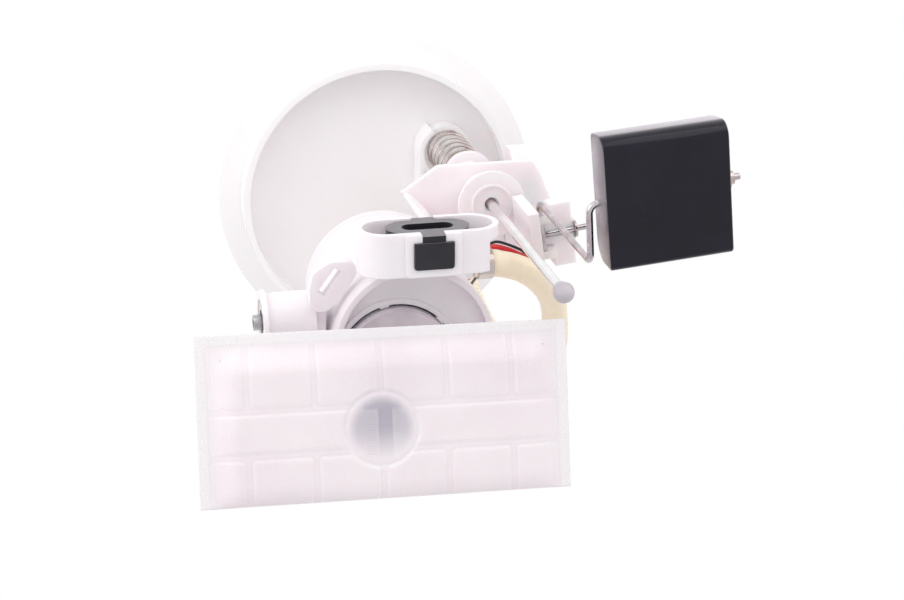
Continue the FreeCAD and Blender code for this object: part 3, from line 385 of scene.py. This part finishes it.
def new_piece(name, vertices, faces, material):
    mesh = bpy.data.meshes.new(name)
    mesh.from_pydata((np.asarray(vertices) * mm).tolist(), [], faces)
    mesh.polygons.foreach_set("use_smooth", [True] * len(mesh.polygons))
    mesh.materials.append(material)
    piece = bpy.data.objects.new(name, mesh)
    bpy.context.scene.collection.objects.link(piece)
    return piece


def ring_faces(rings, sides):
    """Quads between rings of points, and a cap on each end."""
    faces = []
    for ring in range(rings - 1):
        for side in range(sides):
            after = (side + 1) % sides
            faces.append((ring * sides + side, ring * sides + after,
                          (ring + 1) * sides + after, (ring + 1) * sides + side))
    last = (rings - 1) * sides
    faces.append(tuple(range(sides - 1, -1, -1)))
    faces.append(tuple(range(last, last + sides)))
    return faces


def placed(points, turn, pitch, place):
    """Points in mm, turned about z, pitched about x and moved to a place."""
    turned = Matrix.Rotation(math.radians(turn), 3, "Z")
    rotation = Matrix.Rotation(math.radians(pitch), 3, "X") @ turned
    return points @ np.array(rotation).T + np.array(place)


def smooth(share):
    """A soft step from zero to one."""
    share = np.clip(share, 0.0, 1.0)
    return share * share * (3.0 - 2.0 * share)


def hump(distance, width):
    """A soft bump, one at no distance."""
    return np.exp(-(distance / width) ** 2)


def within(value, low, high, edge):
    """One between two limits and zero outside them, with a soft edge."""
    return smooth((value - low) / edge + 0.5) * smooth((high - value) / edge + 0.5)


# Materials

def shader(name):
    material = bpy.data.materials.new(name)
    material.use_nodes = True
    nodes = material.node_tree.nodes
    return material, nodes, material.node_tree.links, nodes["Principled BSDF"]


def noise(nodes, links, scale, detail):
    place = nodes.new("ShaderNodeTexCoord")
    texture = nodes.new("ShaderNodeTexNoise")
    texture.inputs["Scale"].default_value = scale
    texture.inputs["Detail"].default_value = detail
    links.new(place.outputs["Object"], texture.inputs["Vector"])
    return texture.outputs["Fac"]


def mottled(nodes, links, dark, light, scale):
    """Soft patches of two close colours."""
    ramp = nodes.new("ShaderNodeValToRGB")
    ramp.color_ramp.elements[0].position = mottle_low
    ramp.color_ramp.elements[0].color = (*dark, 1.0)
    ramp.color_ramp.elements[1].position = mottle_high
    ramp.color_ramp.elements[1].color = (*light, 1.0)
    links.new(noise(nodes, links, scale, mottle_detail), ramp.inputs["Fac"])
    return ramp.outputs["Color"]


def uneven(nodes, links, target, low, high, scale):
    """A value that wanders between two limits."""
    spread = nodes.new("ShaderNodeMapRange")
    spread.inputs["From Min"].default_value = patch_low
    spread.inputs["From Max"].default_value = patch_high
    spread.inputs["To Min"].default_value = low
    spread.inputs["To Max"].default_value = high
    links.new(noise(nodes, links, scale, patch_detail), spread.inputs["Value"])
    links.new(spread.outputs["Result"], target)


def grained(nodes, links, target, scale, depth, edge):
    """A fine surface grain over softly rounded edges."""
    bevel = nodes.new("ShaderNodeBevel")
    bevel.samples = bevel_samples
    bevel.inputs["Radius"].default_value = edge * mm
    bump = nodes.new("ShaderNodeBump")
    bump.inputs["Distance"].default_value = depth * mm
    links.new(bevel.outputs["Normal"], bump.inputs["Normal"])
    links.new(noise(nodes, links, scale, grain_detail), bump.inputs["Height"])
    links.new(bump.outputs["Normal"], target)


def lit_within(surface, name):
    """Light that scatters a short way into pale plastic."""
    surface.inputs["Subsurface Weight"].default_value = glow[name]
    surface.inputs["Subsurface Radius"].default_value = glow_tint
    surface.inputs["Subsurface Scale"].default_value = glow_depth * mm


def moulded(name, dark, light, roughness):
    """Moulded plastic or rubber."""
    material, nodes, links, surface = shader(name)
    links.new(mottled(nodes, links, dark, light, plastic_mottle), surface.inputs["Base Color"])
    uneven(nodes, links, surface.inputs["Roughness"], roughness - plastic_smoother,
           roughness + plastic_rougher, plastic_patch)
    grain, depth = other_grain.get(name, (plastic_grain, plastic_depth))
    grained(nodes, links, surface.inputs["Normal"], grain, depth, plastic_edge)
    if name in glow:
        lit_within(surface, name)
    return material


def metal(name, dark, light, roughness):
    material, nodes, links, surface = shader(name)
    links.new(mottled(nodes, links, dark, light, metal_mottle), surface.inputs["Base Color"])
    uneven(nodes, links, surface.inputs["Roughness"], roughness - metal_smoother,
           roughness + metal_rougher, metal_patch)
    grained(nodes, links, surface.inputs["Normal"], metal_grain, metal_depth, metal_edge)
    surface.inputs["Metallic"].default_value = 1.0
    return material


def painted_over(nodes, links, ground, attribute, colour):
    """A colour laid over a ground where a vertex value is high."""
    amount = nodes.new("ShaderNodeAttribute")
    amount.attribute_name = attribute
    mix = nodes.new("ShaderNodeMix")
    mix.data_type = "RGBA"
    links.new(amount.outputs["Fac"], mix.inputs["Factor"])
    links.new(ground, mix.inputs[mix_ground])
    mix.inputs[mix_colour].default_value = (*colour, 1.0)
    return mix.outputs[mix_result]


def mesh_cloth():
    """Fine woven nylon, with painted shade where the pump's inlet would show through it, and
    painted highlights and shade along its pressed lines.
    """
    material, nodes, links, surface = shader("nylon_mesh")
    pale = mottled(nodes, links, cloth_dark, cloth_light, cloth_mottle)
    # Painted shade beside the bars, painted highlights along the ridges, and painted shade over the
    # inlet
    pressed = painted_over(nodes, links, pale, "pressed", groove_shade_colour)
    ridged = painted_over(nodes, links, pressed, "ridge", ridge_highlight_colour)
    shaded = painted_over(nodes, links, ridged, "shade", inlet_shade_colour)
    links.new(shaded, surface.inputs["Base Color"])
    place = nodes.new("ShaderNodeTexCoord")
    plane = nodes.new("ShaderNodeMapping")
    plane.inputs["Rotation"].default_value = (math.radians(bag_pitch), 0.0, 0.0)
    links.new(place.outputs["Object"], plane.inputs["Vector"])
    threads = []
    for direction in ("X", "Y"):
        wave = nodes.new("ShaderNodeTexWave")
        wave.bands_direction = direction
        wave.inputs["Scale"].default_value = thread_scale
        links.new(plane.outputs["Vector"], wave.inputs["Vector"])
        threads.append(wave)
    weave = nodes.new("ShaderNodeMath")
    weave.operation = "MAXIMUM"
    links.new(threads[0].outputs["Fac"], weave.inputs[0])
    links.new(threads[1].outputs["Fac"], weave.inputs[1])
    bump = nodes.new("ShaderNodeBump")
    bump.inputs["Distance"].default_value = thread_depth * mm
    links.new(weave.outputs["Value"], bump.inputs["Height"])
    links.new(bump.outputs["Normal"], surface.inputs["Normal"])
    surface.inputs["Roughness"].default_value = cloth_roughness
    lit_within(surface, "nylon_mesh")
    surface.inputs["Sheen Weight"].default_value = cloth_sheen
    return material


def dark_skin(name, dark, light, roughness):
    """Black rubber or foam skin under a thin film that looks pale at a grazing angle."""
    material = moulded(name, dark, light, roughness)
    surface = material.node_tree.nodes["Principled BSDF"]
    surface.inputs["IOR"].default_value = film_index
    surface.inputs["Coat Weight"].default_value = 1.0
    surface.inputs["Coat Roughness"].default_value = roughness * film_gloss
    surface.inputs["Coat IOR"].default_value = film_index
    surface.inputs["Sheen Weight"].default_value = film_sheen
    surface.inputs["Sheen Roughness"].default_value = film_sheen_roughness
    surface.inputs["Sheen Tint"].default_value = film_tint
    return material


def all_materials():
    materials = {"nylon_mesh": mesh_cloth()}
    for maker, table in ((moulded, plastics), (metal, metals), (dark_skin, skins)):
        for name, (dark, light, roughness) in table.items():
            materials[name] = maker(name, dark, light, roughness)
    return materials


def dress_nodes(materials):
    for part in frame["record"]["subparts"]:
        node = frame["nodes"][part["node"]]
        finish = node_finish.get(part["node"], part["material_slot"])
        for slot in node.material_slots:
            slot.material = materials[finish]


# Strainer bag

def panel_distance(u, v):
    """Distance to the nearest panel between the lattice's bars, below zero inside one."""
    half_bar = lattice_bar / 2
    bars = [lattice_first + lattice_pitch * index for index in range(lattice_count)]
    lefts = [lattice_left] + [bar + half_bar for bar in bars]
    rights = [bar - half_bar for bar in bars] + [lattice_right]
    above = bag_above - panel_edge * 2
    below = bag_below + panel_edge * 2
    rows = [(above, lattice_upper - half_bar), (lattice_lower + half_bar, below)]
    boxes = [(left, right, top, foot) for left, right in zip(lefts, rights) for top, foot in rows]
    middle = (lattice_upper + half_bar, lattice_lower - half_bar)
    boxes.append((lattice_left, lattice_right, *middle))
    nearest = np.full(u.shape, np.inf)
    for left, right, top, foot in boxes:
        across = np.abs(u - (left + right) / 2) - (right - left) / 2 + panel_corner
        along = np.abs(v - (top + foot) / 2) - (foot - top) / 2 + panel_corner
        outside = np.hypot(np.maximum(across, 0.0), np.maximum(along, 0.0))
        distance = outside + np.minimum(np.maximum(across, along), 0.0) - panel_corner
        nearest = np.minimum(nearest, distance)
    return nearest


def seam_distance(u, v):
    """How far inside the sealed seam a point of the bag lies; the fourth side is a fold."""
    return np.minimum.reduce([u - bag_left, bag_right - u, v - bag_above]) - bag_seam


def weld_distance(u, v):
    """How far outside the round weld a point of the bag lies."""
    return np.hypot(u - weld_place[0], v - weld_place[1]) - weld_radius


def seam_dots(u, v):
    """The knurl that the sealing bars leave, from 0 to 1."""
    knurl = np.cos(math.tau * u / seam_pitch) * np.cos(math.tau * v / seam_pitch)
    return smooth(0.5 + seam_sharpness * knurl) * (seam_distance(u, v) < -seam_dot_margin)


def flap_ribs(u, v):
    """Fine ribs along the slot's left edge and on the short strip at its right."""
    waves = 0.5 + 0.5 * np.cos(math.tau * v / rib_pitch)
    left = (within(u, flap_left, slot_left - rib_gap, rib_edge)
            * within(v, slot_top + rib_drop, rib_foot, rib_end))
    right = (within(u, slot_right + strip_gap, flap_right, rib_edge)
             * within(v, slot_top, strip_foot, rib_end))
    return waves * np.maximum(left, right)


def creases(u, v):
    """Faint, uneven waves in the cloth."""
    across = np.sin(u / crease_across + crease_sway_share * np.sin(v / crease_sway))
    along = np.sin(v / crease_along + u / crease_drift)
    return crease_height * across * along


def bag_height(u, v):
    """How far a face of the bag stands from its middle plane."""
    rise = np.ones(u.shape)
    for distance in (u - bag_left, bag_right - u, v - bag_above):
        rise = rise * smooth((distance - bag_seam) / bag_slope)
    fold = np.clip((bag_below - v) / bag_fold, 0.0, 1.0)
    rise = rise * np.sqrt(1.0 - (1.0 - fold) ** 2)
    panel = panel_distance(u, v)
    full = smooth(rise * 2.0) * smooth(weld_distance(u, v) / weld_slope)
    lift = panel_lift * smooth(-panel / panel_edge) * full
    ridge = ridge_height * hump(panel + ridge_width, ridge_width) * full
    weld = weld_depth * hump(weld_distance(u, v), weld_width) * rise
    flaps = rib_relief * flap_ribs(u, v)
    return (bag_sheet + (bag_puff - bag_sheet - panel_lift) * rise + lift + ridge - weld
            + creases(u, v) * rise + flaps + seam_relief * seam_dots(u, v))


def inlet_shade(u, v):
    """Painted shade where the dark inlet would show through the cloth: a soft disc with a slot of T
    shape, fading towards the fold, and a faint painted shade of the holder above it.
    """
    disc = smooth(-weld_distance(u, v) / inlet_edge)
    fade = 1.0 - inlet_fade * smooth((v - inlet_fade_start) / inlet_fade_length)
    slot = (within(u, slot_left, slot_right, slot_edge)
            * within(v, slot_top - slot_reach, slot_foot, slot_end))
    tee = within(u, tee_left, tee_right, tee_edge) * within(v, tee_top, slot_top, tee_end)
    rim = hump(u - slot_left - rim_offset, rim_width) * within(v, slot_top, slot_foot, rim_end)
    inlet = inlet_dark + slot_dark * np.maximum(slot, tee_share * tee) + rim_dark * rim
    # A faint painted shade of the holder, a broad patch above the weld
    holder = holder_shade * hump(np.hypot(u * holder_stretch, v + holder_above), holder_spread)
    return np.clip(disc * fade * inlet + holder, 0.0, 1.0)


def highlight_strength(u, v):
    """How clear the painted highlight of a pressed line is, which changes along the bag."""
    across = np.sin(u / highlight_across + highlight_sway_share * np.sin(v / highlight_sway))
    along = np.cos(v / highlight_along - u / highlight_drift)
    return highlight_mean + highlight_range * across * along


def flap_lines(u, v):
    """Painted highlight on the edges of the flap over the inlet: its top, its side and the strip
    beside it.
    """
    top = (hump(v - slot_top - flap_top_offset, flap_top_width)
           * within(u, tee_left - flap_reach, slot_left, flap_top_end))
    side = (hump(u - slot_left + flap_side_offset, flap_line_width)
            * within(v, slot_top, flap_side_foot, flap_line_end))
    strip_edge = slot_right + strip_offset + strip_slant * v
    strip = (hump(u - strip_edge, flap_line_width)
             * within(v, slot_top, weld_radius, flap_line_end))
    return np.maximum.reduce([top, side, strip])


def edge_lines(u, v):
    """Painted highlight along the ridge round each pressed panel, round the weld and along the
    flap's edges, and a paler colour over the seam.
    """
    outside = smooth(weld_distance(u, v) / weld_edge)
    panel = hump(panel_distance(u, v) + ridge_width, ridge_width) * highlight_strength(u, v) * outside
    growth = smooth((v - weld_line_start) / weld_line_length)
    strength = weld_line_least + (1.0 - weld_line_least) * growth
    weld = hump(weld_distance(u, v), weld_line_width) * strength
    inside = smooth((seam_distance(u, v) + seam_margin) / seam_edge)
    lines = ridge_highlight * np.maximum.reduce([panel, weld, flap_highlight * flap_lines(u, v)])
    return np.clip(lines * inside + seam_white * (1.0 - inside), 0.0, 1.0)


def painted_groove_shade(u, v):
    """Painted shade in the pits of the seam's knurl, along the lattice's bars and between the
    flap's ribs.
    """
    outside = smooth(weld_distance(u, v) / weld_edge) * smooth(seam_distance(u, v))
    bars = bar_shade * hump(panel_distance(u, v) - bar_offset, bar_width) * outside
    return np.clip(knurl_shade * seam_dots(u, v) + bars + rib_shade * flap_ribs(u, v), 0.0, 1.0)


def vertex_values(piece, name, values):
    attribute = piece.data.attributes.new(name, "FLOAT", "POINT")
    attribute.data.foreach_set("value", values.astype(np.float32))


def cloth_grid():
    """Places across and along the bag, close together over the seam and the slot."""
    across = np.arange(bag_left, bag_right + bag_step / 2, bag_step)
    along = np.concatenate([np.arange(bag_above, bag_above + bag_seam, bag_step),
                            np.arange(bag_above + bag_seam, slot_top, bag_middle_step),
                            np.arange(slot_top, rib_foot, bag_rib_step),
                            np.arange(rib_foot, bag_below, bag_middle_step), [bag_below]])
    return np.meshgrid(across, along, indexing="ij")


def two_sided_faces(rows, columns):
    """Quads of a front sheet and a back sheet, joined round their rim."""
    count = rows * columns
    faces = []
    for row in range(rows - 1):
        for column in range(columns - 1):
            corner = row * columns + column
            quad = (corner, corner + columns, corner + columns + 1, corner + 1)
            faces.append(quad)
            faces.append(tuple(count + index for index in reversed(quad)))
    rim = ([(row, 0) for row in range(rows)]
           + [(rows - 1, column) for column in range(1, columns)]
           + [(row, columns - 1) for row in range(rows - 2, -1, -1)]
           + [(0, column) for column in range(columns - 2, 0, -1)])
    rim = [row * columns + column for row, column in rim]
    for start, end in zip(rim, rim[1:] + rim[:1]):
        faces.append((start, count + start, count + end, end))
    return faces


def strainer_cloth(material):
    u, v = cloth_grid()
    height = bag_height(u, v)
    front = np.stack([u, v, height], axis=-1).reshape(-1, 3)
    back = np.stack([u, v, -height], axis=-1).reshape(-1, 3)
    vertices = placed(np.concatenate([front, back]), bag_turn, -bag_pitch, bag_place)
    piece = new_piece("strainer_cloth", vertices, two_sided_faces(*u.shape), material)
    # The painted shade of the inlet goes on the back sheet only
    shade = inlet_shade(u, v).ravel()
    vertex_values(piece, "shade", np.concatenate([np.zeros_like(shade), shade]))
    vertex_values(piece, "ridge", np.tile(edge_lines(u, v).ravel(), 2))
    vertex_values(piece, "pressed", np.tile(painted_groove_shade(u, v).ravel(), 2))
    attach(piece, "pump_holder")
    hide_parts("strainer_bag")


# Springs, hose and leads

def coil(name, place, radius, wire, foot_z, head_z, turns, end_turns, material):
    """A coil of round wire with closed end turns."""
    steps = int(turns * coil_steps)
    turn = np.linspace(0.0, turns, steps + 1)
    near_end = np.minimum(turn, turns - turn)
    climb = coil_closed_climb + smooth(near_end / end_turns - coil_closed_share)
    height = np.concatenate([[0.0], np.cumsum((climb[1:] + climb[:-1]) / 2)])
    low = foot_z + wire / 2
    high = head_z - wire / 2
    z = low + (high - low) * height / height[-1]
    angle = math.tau * turn
    around = np.linspace(0.0, math.tau, coil_sides, endpoint=False)
    out = radius + wire / 2 * np.cos(around)[None, :]
    up = wire / 2 * np.sin(around)[None, :]
    rings = np.stack([place[0] + out * np.cos(angle)[:, None],
                      place[1] + out * np.sin(angle)[:, None],
                      z[:, None] + up], axis=-1)
    return new_piece(name, rings.reshape(-1, 3), ring_faces(steps + 1, coil_sides),
                     material)


def strut_coil(material):
    piece = coil("strut_coil", (strut_x, strut_y), spring_radius, spring_wire, spring_foot_z,
                 spring_head_z, spring_turns, spring_end_turns, material)
    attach(piece, "flange_unit")
    metres((strut_x, strut_y, spring_head_z))
    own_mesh(piece)
    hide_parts("strut_spring")


def valve_coil(material):
    piece = coil("valve_coil", (valve_x, valve_y), valve_radius, valve_wire, valve_foot_z,
                 valve_head_z, valve_turns, valve_end_turns, material)
    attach(piece, "pump_holder")
    metres((valve_x, valve_y, valve_head_z))
    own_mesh(piece)
    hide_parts("check_valve_spring")


def flexible_tube(name, route, radius, material, node):
    """A tube along a smooth curve, from the holder at its foot to the flange at its top."""
    curve = bpy.data.curves.new(name, "CURVE")
    curve.dimensions = "3D"
    curve.bevel_depth = radius * mm
    curve.bevel_resolution = tube_roundness
    curve.resolution_u = tube_steps
    curve.use_fill_caps = True
    spline = curve.splines.new("NURBS")
    spline.points.add(len(route) - 1)
    for place, point in zip(route, spline.points):
        point.co = (*metres(place), 1.0)
    spline.order_u = tube_order
    spline.use_endpoint_u = True
    line = bpy.data.objects.new(name + "_line", curve)
    mesh = bpy.data.meshes.new_from_object(line)
    mesh.polygons.foreach_set("use_smooth", [True] * len(mesh.polygons))
    mesh.materials.clear()
    mesh.materials.append(material)
    bpy.data.objects.remove(line)
    piece = bpy.data.objects.new(name, mesh)
    bpy.context.scene.collection.objects.link(piece)
    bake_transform(piece)
    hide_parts(node)


def all_leads(materials):
    for name, route in lead_routes.items():
        colour = "wire_red" if name in red_leads else "wire_black"
        radius = thin_lead_radius if name in thin_leads else lead_radius
        flexible_tube(name + "_wire", route, radius, materials[colour], name)


# Float

def rounded_outline(corners, radii):
    """Points and outward normals round a convex outline whose corners are arcs."""
    points, normals = [], []
    count = len(corners)
    for index, (corner, radius) in enumerate(zip(corners, radii)):
        corner = np.array(corner)
        before = np.array(corners[index - 1]) - corner
        after = np.array(corners[(index + 1) % count]) - corner
        before = before / np.hypot(*before)
        after = after / np.hypot(*after)
        half = math.acos(float(before @ after)) / 2
        middle = (before + after) / np.hypot(*(before + after))
        centre = corner + middle * radius / math.sin(half)
        start = before - (before @ middle) * middle
        reach = math.pi / 2 - half
        side = start / np.hypot(*start)
        for step in range(float_corner_steps + 1):
            angle = reach * (1.0 - 2.0 * step / float_corner_steps)
            normal = -middle * math.cos(angle) + side * math.sin(angle)
            points.append(centre + normal * radius)
            normals.append(normal)
    return np.array(points), np.array(normals)


def float_shell(material):
    """A moulded block with a round heel and softly rounded edges."""
    corners = [(float_near_y, float_front_z), (float_far_y, float_front_z),
               (float_far_y, float_back_z), (float_near_y + float_draft, float_back_z)]
    outline, normals = rounded_outline(corners, float_corners)
    stations = []
    for step in range(float_end_steps + 1):
        angle = math.pi / 2 * step / float_end_steps
        inset = float_end_round * (1.0 - math.sin(angle))
        stations.append((float_left + float_end_round * (1.0 - math.cos(angle)), inset))
    stations += [(float_left + float_right - x, inset) for x, inset in reversed(stations)]
    rings = []
    for x, inset in stations:
        ring = outline - normals * inset
        rings.append(np.column_stack([np.full(len(ring), x), ring]))
    middle = np.array([(float_left + float_right) / 2, (float_near_y + float_far_y) / 2, 0])
    askew = placed(np.concatenate(rings) - middle, float_skew, 0.0, middle)
    vertices = placed(askew, sender_yaw, 0.0, sender_place)
    piece = new_piece("float_shell", vertices, ring_faces(len(stations), len(outline)),
                      material)
    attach(piece, "float_block")
    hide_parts("float")


# Stage

def lit_world():
    """White where the camera and gloss look past the object, and soft light elsewhere."""
    world = bpy.data.worlds.new("studio")
    bpy.context.scene.world = world
    world.use_nodes = True
    nodes = world.node_tree.nodes
    links = world.node_tree.links
    soft = nodes["Background"]
    soft.inputs["Color"].default_value = ambient_tint
    soft.inputs["Strength"].default_value = ambient
    white = nodes.new("ShaderNodeBackground")
    white.inputs["Color"].default_value = (1.0, 1.0, 1.0, 1.0)
    path = nodes.new("ShaderNodeLightPath")
    direct = nodes.new("ShaderNodeMath")
    direct.operation = "MAXIMUM"
    links.new(path.outputs["Is Camera Ray"], direct.inputs[0])
    links.new(path.outputs["Is Transmission Ray"], direct.inputs[1])
    seen = nodes.new("ShaderNodeMath")
    seen.operation = "MAXIMUM"
    links.new(direct.outputs["Value"], seen.inputs[0])
    links.new(path.outputs["Is Glossy Ray"], seen.inputs[1])
    mix = nodes.new("ShaderNodeMixShader")
    links.new(seen.outputs["Value"], mix.inputs["Fac"])
    links.new(soft.outputs["Background"], mix.inputs[1])
    links.new(white.outputs["Background"], mix.inputs[2])
    links.new(mix.outputs["Shader"], nodes["World Output"].inputs["Surface"])


def look(place, aim, up):
    """A rotation that looks from a place at an aim."""
    back = (Vector(place) - Vector(aim)).normalized()
    right = Vector(up).cross(back).normalized()
    above = back.cross(right)
    return Matrix((right, above, back)).transposed().to_4x4()


def add_lamps():
    for name, (place, size, power) in lamps.items():
        light = bpy.data.lights.new(name, "AREA")
        light.size = size * mm
        light.energy = power
        light.color = lamp_tint
        lamp = bpy.data.objects.new(name, light)
        aimed = look(place, camera_aim, lamp_up)
        lamp.matrix_world = Matrix.Translation(metres(place)) @ aimed
        bpy.context.scene.collection.objects.link(lamp)


def add_floor():
    angles = [math.tau * index / floor_sides for index in range(floor_sides)]
    corners = [(floor_radius * math.cos(angle), floor_radius * math.sin(angle), floor_z)
               for angle in angles]
    material, nodes, links, surface = shader("floor")
    pale = mottled(nodes, links, floor_dark, floor_light, floor_mottle)
    links.new(pale, surface.inputs["Base Color"])
    surface.inputs["Roughness"].default_value = floor_roughness
    mesh = bpy.data.meshes.new("floor")
    mesh.from_pydata([metres(corner) for corner in corners], [], [tuple(range(floor_sides))])
    mesh.materials.append(material)
    floor = bpy.data.objects.new("floor", mesh)
    bpy.context.scene.collection.objects.link(floor)


def add_camera():
    data = bpy.data.cameras.new("camera")
    data.lens = camera_lens
    data.sensor_width = camera_sensor
    data.clip_start = camera_near * mm
    data.clip_end = camera_far * mm
    camera = bpy.data.objects.new("camera", data)
    camera.matrix_world = (Matrix.Translation(metres(camera_place))
                           @ look(camera_place, camera_aim, camera_up))
    bpy.context.scene.collection.objects.link(camera)
    bpy.context.scene.camera = camera


bpy.context.scene.view_settings.view_transform = "Standard"
add_camera()
lit_world()
add_lamps()
add_floor()
finishes = all_materials()
dress_nodes(finishes)
strainer_cloth(finishes["nylon_mesh"])
strut_coil(finishes["steel_spring"])
valve_coil(finishes["steel_spring"])
flexible_tube("hose_tube", hose_route, hose_radius, finishes["nylon_hose"],
              "fuel_hose")
all_leads(finishes)
float_shell(finishes["float_black"])
